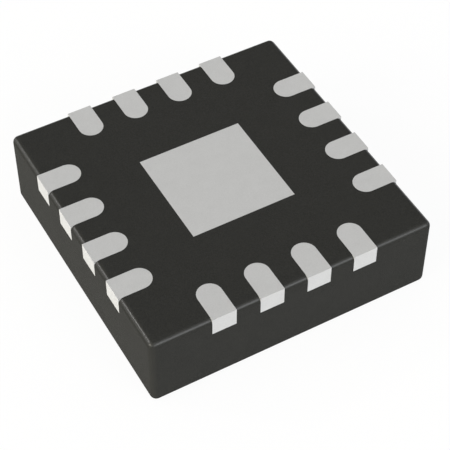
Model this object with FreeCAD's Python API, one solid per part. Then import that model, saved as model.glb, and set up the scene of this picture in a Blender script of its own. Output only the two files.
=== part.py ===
import FreeCAD, Part
import collections
import math
import os

# A square leadless chip package, lying on its marking face with its solder side up.
# Sizes are in millimetres. The origin is the middle of the marking face. X runs along the
# front wall, Y runs to the back wall and Z runs up to the solder side.

# Moulded body
body_width = 3.00
body_depth = 3.00
body_height = 0.85
mould_edge_radius = 0.065

# Dent in the marking face that shows where the count of leads starts
dimple_mouth_diameter = 0.34
dimple_floor_diameter = 0.30
dimple_depth = 0.03
dimple_from_walls = 0.45

# Leadframe, etched from one sheet that is flush with the solder side
sheet_thickness = 0.20
half_etch_depth = 0.10
etch_gap = 0.08

# Leads
leads_per_side = 4
lead_pitch = 0.50
lead_width = 0.25
sole_length = 0.40
tongue_length = 0.12
tongue_chamfer = 0.04

# Paddle that carries the die
pad_width = 1.10
pad_depth = 1.10
pad_lip = 0.15
tie_bar_width = 0.15
tie_bar_cover = 0.22

# Silicon die and its adhesive
die_width = 1.10
die_depth = 1.10
die_thickness = 0.20
adhesive_thickness = 0.025
adhesive_spread = 0.05
adhesive_climb = 0.06

# Bond pads, sunk through the glass on the die's face
bond_pad_size = 0.07
bond_pad_sink = 0.003
bond_pad_pitch = 0.24
bond_pad_inset = 0.07

# Bond wires. A wire is so thin that a section of a few flats stands for its round one.
wire_sides = 8
wire_diameter = 0.025
ball_diameter = 0.06
ball_height = 0.012
ball_shoulder = 0.010
loop_height = 0.12
loop_bend = 0.04
loop_level = 0.20
stitch_inset = 0.10
stitch_length = 0.06
stitch_width = 0.045
stitch_heel = 0.016
stitch_toe = 0.005

# Levels along Z
solder_side_z = body_height
etched_z = solder_side_z - half_etch_depth
inner_face_z = solder_side_z - sheet_thickness
adhesive_z = inner_face_z - adhesive_thickness
die_face_z = adhesive_z - die_thickness
ball_seat_z = die_face_z + bond_pad_sink
loop_top_z = die_face_z - loop_height

Vector = FreeCAD.Vector
UP = Vector(0, 0, 1)
CENTRE = Vector(0, 0, 0)

# A lead's station: the turn of its side from the left wall, the distances from the middle to
# that wall and to the die's edge, and the steps along the side from the side's middle.
Station = collections.namedtuple("Station", "turn wall die_edge steps")


def stations():
    """The leads in counting order, clockwise from the front left corner."""
    reaches = [(body_width / 2, die_width / 2), (body_depth / 2, die_depth / 2)]
    for side in range(4):
        wall, die_edge = reaches[side % 2]
        for place in range(leads_per_side):
            yield Station(-90 * side, wall, die_edge, place - (leads_per_side - 1) / 2)


def turned(shape, degrees):
    copy = shape.copy()
    copy.rotate(CENTRE, UP, degrees)
    return copy


def centred_box(width, depth, low_z, high_z):
    corner = Vector(-width / 2, -depth / 2, low_z)
    return Part.makeBox(width, depth, high_z - low_z, corner)


def plate(edges, low_z, high_z):
    """A flat piece between two levels whose outline is a closed run of edges at z = 0."""
    sheet = Part.Face(Part.Wire(edges)).extrude(UP * (high_z - low_z))
    sheet.translate(UP * low_z)
    return sheet


def lines(points):
    return [Part.makeLine(a, b) for a, b in zip(points, points[1:])]


def lead_sole(wall, y):
    """The part of a lead that is soldered: full thickness, with a half-round inner end."""
    half = lead_width / 2
    tip_x = -wall + sole_length
    near = Vector(tip_x - half, y - half, 0)
    far = Vector(tip_x - half, y + half, 0)
    round_end = Part.Arc(near, Vector(tip_x, y, 0), far).toShape()
    sides = lines([far, Vector(-wall, y + half, 0), Vector(-wall, y - half, 0), near])
    return plate([round_end] + sides, inner_face_z, solder_side_z)


def lead_tongue(wall, y):
    """The half-etched end that reaches further in, under the moulding."""
    half = lead_width / 2
    tip_x = -wall + sole_length + tongue_length
    outline = [
        Vector(-wall, y - half, 0),
        Vector(tip_x - tongue_chamfer, y - half, 0),
        Vector(tip_x, y - half + tongue_chamfer, 0),
        Vector(tip_x, y + half - tongue_chamfer, 0),
        Vector(tip_x - tongue_chamfer, y + half, 0),
        Vector(-wall, y + half, 0),
    ]
    return plate(lines(outline + outline[:1]), inner_face_z, etched_z)


def lead(station):
    """One lead. Its tongue is cut back where it would come too near a tie bar."""
    y = station.steps * lead_pitch
    tongue = turned(lead_tongue(station.wall, y), station.turn).cut(tie_bars(etch_gap))
    return turned(lead_sole(station.wall, y), station.turn).fuse(tongue).removeSplitter()


def tie_bars(room=0.0):
    """The four half-etched bars that held the paddle in the sheet, with room round each."""
    width = tie_bar_width + 2 * room
    length = math.hypot(body_width, body_depth) / 2 - tie_bar_cover + room
    slant = math.degrees(math.atan2(body_depth, body_width))
    start = Vector(0, -width / 2, inner_face_z)
    bar = Part.makeBox(length, width, etched_z - inner_face_z, start)
    return [turned(bar, angle) for angle in (slant, 180 - slant, 180 + slant, -slant)]


def die_paddle():
    """The exposed pad, the half-etched lip round it that the moulding grips, and its bars."""
    pad = centred_box(pad_width, pad_depth, inner_face_z, solder_side_z)
    lip = centred_box(pad_width + 2 * pad_lip, pad_depth + 2 * pad_lip, inner_face_z, etched_z)
    return pad.fuse([lip] + tie_bars()).removeSplitter()


def bond_pad_centre(station):
    x = -station.die_edge + bond_pad_inset
    return Vector(x, station.steps * bond_pad_pitch, ball_seat_z)


def silicon_die():
    die = centred_box(die_width, die_depth, die_face_z, adhesive_z)
    opening = centred_box(bond_pad_size, bond_pad_size, die_face_z, ball_seat_z)
    openings = []
    for station in stations():
        centre = bond_pad_centre(station)
        here = opening.translated(Vector(centre.x, centre.y, 0))
        openings.append(turned(here, station.turn))
    return die.cut(openings)


def rectangle(width, depth, z):
    x, y = width / 2, depth / 2
    corners = [Vector(-x, -y, z), Vector(x, -y, z), Vector(x, y, z), Vector(-x, y, z)]
    return Part.makePolygon(corners + corners[:1])


def die_attach(die):
    """Adhesive pressed out from under the die, with a slope that climbs the die's walls."""
    foot_width = die_width + 2 * adhesive_spread
    foot_depth = die_depth + 2 * adhesive_spread
    foot = rectangle(foot_width, foot_depth, inner_face_z)
    crest = rectangle(die_width, die_depth, adhesive_z - adhesive_climb)
    return Part.makeLoft([foot, crest], True, True).cut(die)


def stitch_point(station):
    tongue_tip = -station.wall + sole_length + tongue_length
    return Vector(tongue_tip - stitch_inset, station.steps * lead_pitch, inner_face_z)


def wire_section(centre, diameter, bearing):
    """A level ring of flats, with one flat square to the bearing."""
    step = 2 * math.pi / wire_sides
    radius = diameter / 2
    points = []
    for count in range(wire_sides + 1):
        angle = bearing + (count + 0.5) * step
        points.append(centre + Vector(math.cos(angle), math.sin(angle), 0) * radius)
    return Part.makePolygon(points)


def ball_bond(seat, bearing):
    """The squashed ball on the bond pad, with a shoulder that narrows to the wire."""
    ball_top = seat - UP * ball_height
    neck = ball_top - UP * ball_shoulder
    rings = [
        wire_section(seat, ball_diameter, bearing),
        wire_section(ball_top, ball_diameter, bearing),
        wire_section(neck, wire_diameter, bearing),
    ]
    return Part.makeLoft(rings, True, True)


def wire_loop(seat, landing, bearing):
    """The wire itself: straight off the ball, level past the die's edge, down to the lead."""
    heading = Vector(math.cos(bearing), math.sin(bearing), 0)
    above = Vector(seat.x, seat.y, loop_top_z)
    crest = above + heading * (loop_bend + loop_level)
    past_landing = landing + (landing - crest).normalize() * wire_diameter
    points = [seat, above + UP * loop_bend, above + heading * loop_bend, crest, past_landing]
    section = wire_section(seat, wire_diameter, bearing)
    loop = Part.makePolygon(points).makePipeShell([section], True, False, 1)
    return loop.cut(centred_box(body_width, body_depth, inner_face_z, solder_side_z))


def stitch_bond(landing, bearing):
    """The wire's end, pressed to a wedge on the lead."""
    back, front, side = -stitch_length / 2, stitch_length / 2, -stitch_width / 2
    profile = [
        Vector(back, side, 0),
        Vector(front, side, 0),
        Vector(front, side, -stitch_toe),
        Vector(back, side, -stitch_heel),
    ]
    face = Part.Face(Part.makePolygon(profile + profile[:1]))
    wedge = turned(face.extrude(Vector(0, stitch_width, 0)), math.degrees(bearing))
    return wedge.translated(landing)


def bond_wire(station):
    seat, landing = bond_pad_centre(station), stitch_point(station)
    bearing = math.atan2(landing.y - seat.y, landing.x - seat.x)
    rest = [wire_loop(seat, landing, bearing), stitch_bond(landing, bearing)]
    wire = ball_bond(seat, bearing).fuse(rest).removeSplitter()
    return turned(wire, station.turn)


def first_lead_dimple():
    x = -body_width / 2 + dimple_from_walls
    y = -body_depth / 2 + dimple_from_walls
    mouth, floor = dimple_mouth_diameter / 2, dimple_floor_diameter / 2
    return Part.makeCone(mouth, floor, dimple_depth, Vector(x, y, 0), UP)


def mould_body(inserts):
    """The moulding: every edge rounded, and all the space between its inserts filled."""
    block = centred_box(body_width, body_depth, 0, body_height)
    block = block.makeFillet(mould_edge_radius, block.Edges)
    return block.cut([first_lead_dimple()] + inserts)


def all_pieces():
    die = silicon_die()
    pieces = {"die_paddle": die_paddle(), "die_attach": die_attach(die), "silicon_die": die}
    for number, station in enumerate(stations(), start=1):
        pieces[f"lead_{number:02d}"] = lead(station)
        pieces[f"wire_{number:02d}"] = bond_wire(station)
    pieces["mould_body"] = mould_body(list(pieces.values()))
    return pieces


os.makedirs("parts", exist_ok=True)
for name, piece in all_pieces().items():
    piece.exportStep(f"parts/{name}.step")
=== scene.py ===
import math

import bmesh
import bpy
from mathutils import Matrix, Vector


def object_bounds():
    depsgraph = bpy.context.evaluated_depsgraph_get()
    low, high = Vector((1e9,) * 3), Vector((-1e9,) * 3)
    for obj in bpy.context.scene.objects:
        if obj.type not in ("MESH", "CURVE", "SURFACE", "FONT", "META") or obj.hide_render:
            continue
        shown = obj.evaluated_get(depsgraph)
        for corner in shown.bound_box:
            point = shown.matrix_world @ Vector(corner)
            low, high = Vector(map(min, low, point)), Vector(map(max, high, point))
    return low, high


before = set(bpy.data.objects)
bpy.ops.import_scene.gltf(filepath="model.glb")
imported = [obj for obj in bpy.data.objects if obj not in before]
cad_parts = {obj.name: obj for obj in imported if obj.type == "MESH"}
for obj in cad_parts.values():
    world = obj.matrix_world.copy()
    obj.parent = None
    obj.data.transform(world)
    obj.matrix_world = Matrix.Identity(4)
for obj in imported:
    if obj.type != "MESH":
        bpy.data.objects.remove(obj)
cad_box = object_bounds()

# One small leadless chip package, lying on its marking face with its solder side up.
# Lengths are in metres. MM and MICRON turn real sizes into them.
MM = 0.001
MICRON = 0.000001

# Camera, at the photograph's viewing angle. The aim is the middle of the package.
CAMERA_AZIMUTH = math.radians(-29.27)
CAMERA_ELEVATION = math.radians(48.68)
CAMERA_DISTANCE = 15.104 * MM
CAMERA_SIDEWAYS = 0.0827 * MM
CAMERA_UPWARDS = -0.1726 * MM
CAMERA_LENS = 122.5
CAMERA_NEAR = 0.5 * MM
CAMERA_FAR = 2.0

# Studio. SHADOW_SHOWN is the share of its real shading that the floor keeps. The rest of it
# is plain white.
FLOOR_SIZE = 1.2
FLOOR_DROP = 1 * MICRON
FLOOR_COLOUR = (0.88, 0.88, 0.88)
SHADOW_SHOWN = 0.07

# The sky is white from the horizon up to one height, and greyer above another. Heights are
# those of a direction that is one unit long.
SKY_WHITE_BELOW = 0.20
SKY_GREY_ABOVE = 0.90
SKY_GREY = 0.45
WHITE = (1.0, 1.0, 1.0)

# Each lamp: name, direction it shines from, strength, width of its disc in degrees, colour
LAMPS = [
    ("lamp_back_left", (-0.645, 0.550, 0.530), 0.45, 8, (1.0, 0.99, 0.96)),
    ("lamp_front", (0.335, -0.785, 0.520), 0.70, 28, (0.94, 0.98, 1.0)),
    ("lamp_left_low", (-0.970, -0.100, 0.220), 3.50, 50, (1.0, 0.96, 0.80)),
    ("lamp_front_low", (0.0, -0.970, 0.220), 1.30, 50, (0.97, 0.99, 1.0)),
]

# Places and sizes of the solid model that the finishes follow
BODY_LOW, BODY_HIGH = (Vector(corner) for corner in cad_box)
BODY_MIDDLE = (BODY_LOW + BODY_HIGH) / 2
BODY_HALF = (BODY_HIGH - BODY_LOW) / 2
MOULD_EDGE_RADIUS = 65 * MICRON
INNER_FACE_Z = 650 * MICRON
DIE_FACE_Z = 425 * MICRON
BOND_PAD_Z = 428 * MICRON
DIE_HALF = 550 * MICRON
PAD_CLEAR_OF_WALLS = 20 * MICRON
JUST_BEYOND = 1 * MICRON

# Colours. Each pair is the darkest and the palest that a finish reaches.
EPOXY = (0.0178, 0.0178, 0.0168), (0.0328, 0.0328, 0.0308)
TIN = (0.510, 0.510, 0.513), (0.610, 0.610, 0.613)
COPPER = (0.62, 0.30, 0.20), (0.76, 0.42, 0.29)
SILVER = (0.80, 0.79, 0.76), (0.90, 0.89, 0.86)
DIE_WIRING = (0.05, 0.06, 0.10), (0.20, 0.17, 0.15)
DIE_BLOCKS = (0.10, 0.16, 0.12)
SAWN_SILICON = (0.16, 0.17, 0.19), (0.26, 0.27, 0.30)
BOND_PADS = (0.80, 0.80, 0.80), (0.90, 0.90, 0.91)
ADHESIVE = (0.33, 0.32, 0.30), (0.66, 0.65, 0.62)
GOLD = (0.93, 0.66, 0.24), (1.0, 0.76, 0.35)

# Shine of the moulding's rounded edges. It comes in softly between two lengths of the
# sideways part of the edge's direction, and between two of its upward part.
EDGE_SHINE = 0.65
EDGE_SHINE_SIDEWAYS = 0.30, 0.55
EDGE_SHINE_UPWARDS = 0.45, 0.75

# The Mix node has a set of sockets for each kind of data. These are the ones for colours.
MIX_SHARE, MIX_LOW, MIX_HIGH, MIX_RESULT = 0, 6, 7, 2


class Value:
    """A number or vector that leaves a node, for use in sums."""

    def __init__(self, nodes, socket):
        self.nodes = nodes
        self.socket = socket

    def maths(self, operation, first, second):
        return self.nodes.add("Math", {"operation": operation}, {0: first, 1: second})

    def __add__(self, other):
        return self.maths("ADD", self, other)

    def __sub__(self, other):
        return self.maths("SUBTRACT", self, other)

    def __rsub__(self, other):
        return self.maths("SUBTRACT", other, self)

    def __mul__(self, other):
        return self.maths("MULTIPLY", self, other)

    def __gt__(self, other):
        return self.maths("GREATER_THAN", self, other)

    def __lt__(self, other):
        return self.maths("LESS_THAN", self, other)

    __radd__ = __add__
    __rmul__ = __mul__


def highest(first, *others):
    for other in others:
        first = first.maths("MAXIMUM", first, other)
    return first


def lowest(first, *others):
    for other in others:
        first = first.maths("MINIMUM", first, other)
    return first


def between(share, low, high):
    """A number between two, by a share from 0 to 1."""
    return share * (high - low) + low


class Nodes:
    """The nodes of a material or of the world. add() makes all but those it starts with."""

    def __init__(self, owner):
        owner.use_nodes = True
        self.tree = owner.node_tree

    def add(self, kind, settings=None, inputs=None, output=0):
        """Add a node of a type, with its settings first and then its sockets' values."""
        node = self.tree.nodes.new("ShaderNode" + kind)
        for label, value in (settings or {}).items():
            setattr(node, label, value)
        for label, value in (inputs or {}).items():
            self.feed(node.inputs[label], value)
        return Value(self, node.outputs[output])

    def feed(self, socket, value):
        """Link a value to a socket, or set the socket to a number, a vector or a colour."""
        if isinstance(value, Value):
            self.tree.links.new(value.socket, socket)
        elif socket.type == "RGBA":
            socket.default_value = (*value, 1)
        else:
            socket.default_value = value

    def vector(self, operation, first, second=(0, 0, 0), output=0):
        inputs = {0: first, 1: second}
        return self.add("VectorMath", {"operation": operation}, inputs, output)

    def split(self, vector):
        """A vector's three numbers."""
        parts = self.add("SeparateXYZ", inputs={"Vector": vector})
        return [Value(self, socket) for socket in parts.socket.node.outputs]

    def ramp(self, value, low, high, start=0.0, end=1.0):
        """The start up to a low value, the end from a high one, and a soft change between."""
        values = {"Value": value, "From Min": low, "From Max": high}
        inputs = {**values, "To Min": start, "To Max": end}
        return self.add("MapRange", {"interpolation_type": "SMOOTHSTEP"}, inputs)

    def seen_directly(self):
        """1 for rays from the camera and for those that a glossy or clear surface sends on."""
        rays = ("Is Camera Ray", "Is Glossy Ray", "Is Transmission Ray")
        return highest(*[self.add("LightPath", output=ray) for ray in rays])


class Finish(Nodes):
    """A piece's material: procedural, and tied to places on the object."""

    def __init__(self, name, **constants):
        self.material = bpy.data.materials.new(name)
        super().__init__(self.material)
        self.set(**constants)

    def set(self, **values):
        """Set the surface shader's own sockets, named with _ for each space."""
        shader = self.tree.nodes["Principled BSDF"]
        for label, value in values.items():
            self.feed(shader.inputs[label.replace("_", " ")], value)

    def place(self):
        """Where a point lies on the object, in metres."""
        return self.add("TexCoord", output="Object")

    def stretched(self, stretch):
        return self.vector("MULTIPLY", self.place(), stretch)

    def noise(self, size, detail=3.0, stretch=(1, 1, 1)):
        """Soft random blotches, each about one size across, from 0 to 1."""
        inputs = {"Vector": self.stretched(stretch), "Scale": 1 / size, "Detail": detail}
        return self.add("TexNoise", inputs=inputs, output="Fac")

    def grains(self, size):
        """Noise whose dark and pale blotches stand out more, as grains."""
        return self.ramp(self.noise(size), low=0.3, high=0.7)

    def cells(self, size, stretch=(1, 1, 1)):
        """Small cells, each with a random number from 0 to 1."""
        inputs = {"Vector": self.stretched(stretch), "Scale": 1 / size}
        spots = self.add("TexVoronoi", inputs=inputs, output="Color")
        return self.add("SeparateColor", inputs={"Color": spots}, output="Red")

    def blend(self, share, low, high):
        """A colour between two, by a share from 0 to 1."""
        inputs = {MIX_SHARE: share, MIX_LOW: low, MIX_HIGH: high}
        return self.add("Mix", {"data_type": "RGBA"}, inputs, MIX_RESULT)

    def bump(self, height, depth):
        """A surface normal from a height of 0 to 1 that stands for a real depth."""
        return self.add("Bump", inputs={"Height": height, "Distance": depth}, output="Normal")

    def from_core(self):
        """How far a point lies past the moulding's core along each axis. The centres of the
        moulding's rounded edges are the edges of its core."""
        core = BODY_HALF - Vector((1, 1, 1)) * MOULD_EDGE_RADIUS
        folded = self.vector("ABSOLUTE", self.vector("SUBTRACT", self.place(), BODY_MIDDLE))
        return self.vector("SUBTRACT", folded, core)

    def buried(self):
        """1 inside the moulding's rounded outline, 0 where a piece comes out of it."""
        reach = self.from_core()
        outward = self.vector("LENGTH", self.vector("MAXIMUM", reach), output="Value")
        depth = MOULD_EDGE_RADIUS - outward - lowest(highest(*self.split(reach)), 0.0)
        return depth > JUST_BEYOND


def moulding():
    """Dark epoxy full of fine silica, with smoother rounded edges round the solder side."""
    finish = Finish("moulding", Specular_IOR_Level=0.04, Coat_Roughness=0.30)
    blotches = finish.noise(200 * MICRON)
    grains = finish.grains(9 * MICRON)
    specks = finish.cells(6 * MICRON)
    shade = blotches * 0.2 + grains * 0.5 + specks * 0.3
    facing = finish.vector("NORMALIZE", finish.vector("MAXIMUM", finish.from_core()))
    x, y, z = finish.split(facing)
    sideways = finish.ramp(highest(x, y), *EDGE_SHINE_SIDEWAYS)
    rounded = sideways * finish.ramp(z, *EDGE_SHINE_UPWARDS)
    solder_side = finish.split(finish.place())[2] > BODY_MIDDLE.z
    finish.set(
        Base_Color=finish.blend(shade, *EPOXY),
        Roughness=between(grains, 0.62, 0.68),
        Coat_Weight=rounded * solder_side * EDGE_SHINE,
        Normal=finish.bump(specks * 0.3 + grains, depth=1.0 * MICRON),
    )
    return finish.material


def leadframe():
    """Etched copper, plated with matt tin wherever it comes out of the moulding."""
    finish = Finish("leadframe")
    buried = finish.buried()
    z = finish.split(finish.place())[2]
    bond_face = (z < INNER_FACE_Z + JUST_BEYOND) * buried
    clouds = finish.noise(110 * MICRON)
    grains = finish.grains(7 * MICRON)
    tin = finish.blend(clouds * 0.4 + grains * 0.6, *TIN)
    copper = finish.blend(grains, *COPPER)
    silver = finish.blend(grains, *SILVER)
    finish.set(
        Base_Color=finish.blend(buried, tin, finish.blend(bond_face, copper, silver)),
        Metallic=between(buried, 0.6, 1.0),
        Roughness=between(buried, 0.55, 0.37) + grains * 0.1,
        Normal=finish.bump(grains, depth=0.35 * MICRON),
    )
    return finish.material


def polished_silicon():
    """The die: fine wiring under glass on its face, bare metal pads, and sawn walls."""
    finish = Finish("polished_silicon", Coat_Weight=0.4, Coat_Roughness=0.08)
    x, y, z = finish.split(finish.vector("ABSOLUTE", finish.place()))
    face = z < DIE_FACE_Z + JUST_BEYOND
    away_from_walls = highest(x, y) < DIE_HALF - PAD_CLEAR_OF_WALLS
    sunk = (z > BOND_PAD_Z - JUST_BEYOND) * (z < BOND_PAD_Z + JUST_BEYOND)
    pad = sunk * away_from_walls
    blocks = finish.cells(90 * MICRON)
    rows = finish.cells(14 * MICRON, stretch=(0.25, 1, 1))
    columns = finish.cells(10 * MICRON, stretch=(1, 0.2, 1))
    saw_marks = finish.noise(5 * MICRON, stretch=(0.1, 0.1, 1))
    wiring = finish.blend(rows * 0.6 + columns * 0.4, *DIE_WIRING)
    wired_face = finish.blend(blocks * 0.5, wiring, DIE_BLOCKS)
    silicon = finish.blend(face, finish.blend(saw_marks, *SAWN_SILICON), wired_face)
    finish.set(
        Base_Color=finish.blend(pad, silicon, finish.blend(rows, *BOND_PADS)),
        Metallic=between(pad, 0.4, 1.0),
        Roughness=between(face, 0.42, 0.20) - pad * 0.08 + saw_marks * 0.1,
    )
    return finish.material


def silver_adhesive():
    """Grey glue full of silver flakes, with a skin that sags between them."""
    finish = Finish("silver_adhesive")
    flakes = finish.cells(6 * MICRON)
    swells = finish.noise(40 * MICRON, detail=2.0)
    bright = finish.ramp(flakes, low=0.55, high=0.80)
    finish.set(
        Base_Color=finish.blend(bright, *ADHESIVE),
        Metallic=between(bright, 0.2, 0.9),
        Roughness=between(bright, 0.60, 0.35),
        Normal=finish.bump(swells + flakes * 0.3, depth=2 * MICRON),
    )
    return finish.material


def drawn_gold():
    """Thin gold wire with the faint marks of its drawing."""
    finish = Finish("drawn_gold", Metallic=1.0)
    marks = finish.noise(3 * MICRON)
    drifts = finish.noise(50 * MICRON, detail=2.0)
    finish.set(
        Base_Color=finish.blend(drifts, *GOLD),
        Roughness=between(marks, 0.20, 0.34),
        Normal=finish.bump(marks, depth=0.1 * MICRON),
    )
    return finish.material


def dress(nodes):
    """Give each node of the package its own finish."""
    metal, gold = leadframe(), drawn_gold()
    finishes = {
        "mould_body": moulding(),
        "die_paddle": metal,
        "silicon_die": polished_silicon(),
        "die_attach": silver_adhesive(),
    }
    for name, piece in nodes.items():
        if name.startswith("lead_"):
            finish = metal
        elif name.startswith("wire_"):
            finish = gold
        else:
            finish = finishes[name]
        piece.data.materials.clear()
        piece.data.materials.append(finish)


def place_camera():
    """Look at the package as the photograph does, from in front, from the left and above."""
    back = Vector((
        math.sin(CAMERA_AZIMUTH) * math.cos(CAMERA_ELEVATION),
        -math.cos(CAMERA_AZIMUTH) * math.cos(CAMERA_ELEVATION),
        math.sin(CAMERA_ELEVATION),
    ))
    right = (-back).cross(Vector((0, 0, 1))).normalized()
    up = right.cross(-back)
    data = bpy.data.cameras.new("camera")
    data.lens = CAMERA_LENS
    data.clip_start = CAMERA_NEAR
    data.clip_end = CAMERA_FAR
    camera = bpy.data.objects.new("camera", data)
    bpy.context.scene.collection.objects.link(camera)
    camera.location = BODY_MIDDLE + back * CAMERA_DISTANCE
    camera.location += right * CAMERA_SIDEWAYS + up * CAMERA_UPWARDS
    camera.rotation_euler = (-back).to_track_quat("-Z", "Y").to_euler()
    bpy.context.scene.camera = camera


def floor_finish():
    """Pale floor that shows white but keeps a little of the object's shadow."""
    material = bpy.data.materials.new("pale_floor")
    nodes = Nodes(material)
    matt = nodes.add("BsdfDiffuse", inputs={"Color": FLOOR_COLOUR})
    white = nodes.add("Emission", inputs={"Color": WHITE})
    glow = nodes.seen_directly() * (1 - SHADOW_SHOWN)
    shown = nodes.add("MixShader", inputs={0: glow, 1: matt, 2: white})
    nodes.feed(nodes.tree.nodes["Material Output"].inputs["Surface"], shown)
    nodes.tree.nodes.remove(nodes.tree.nodes["Principled BSDF"])
    return material


def lay_floor():
    """A wide floor just below the marking face."""
    mesh = bpy.data.meshes.new("floor")
    shape = bmesh.new()
    bmesh.ops.create_grid(shape, x_segments=1, y_segments=1, size=FLOOR_SIZE / 2)
    bmesh.ops.translate(shape, verts=shape.verts, vec=(0, 0, BODY_LOW.z - FLOOR_DROP))
    shape.to_mesh(mesh)
    shape.free()
    mesh.materials.append(floor_finish())
    floor = bpy.data.objects.new("floor", mesh)
    bpy.context.scene.collection.objects.link(floor)


def light_sky():
    """White at the horizon and below it, greyer overhead, and the same to every ray."""
    world = bpy.data.worlds.new("studio")
    nodes = Nodes(world)
    height = nodes.split(nodes.add("TexCoord", output="Generated"))[2]
    level = nodes.ramp(height, SKY_WHITE_BELOW, SKY_GREY_ABOVE, start=1.0, end=SKY_GREY)
    background = nodes.tree.nodes["Background"]
    nodes.feed(background.inputs["Color"], WHITE)
    nodes.feed(background.inputs["Strength"], level)
    bpy.context.scene.world = world


def hang_lamps():
    """Far lamps that each shine evenly from one direction."""
    for name, direction, strength, width, colour in LAMPS:
        data = bpy.data.lights.new(name, "SUN")
        data.energy = strength
        data.angle = math.radians(width)
        data.color = colour
        lamp = bpy.data.objects.new(name, data)
        lamp.rotation_euler = Vector(direction).to_track_quat("Z", "Y").to_euler()
        bpy.context.scene.collection.objects.link(lamp)


place_camera()
dress(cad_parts)
lay_floor()
light_sky()
hang_lamps()
bpy.context.scene.view_settings.view_transform = "Standard"
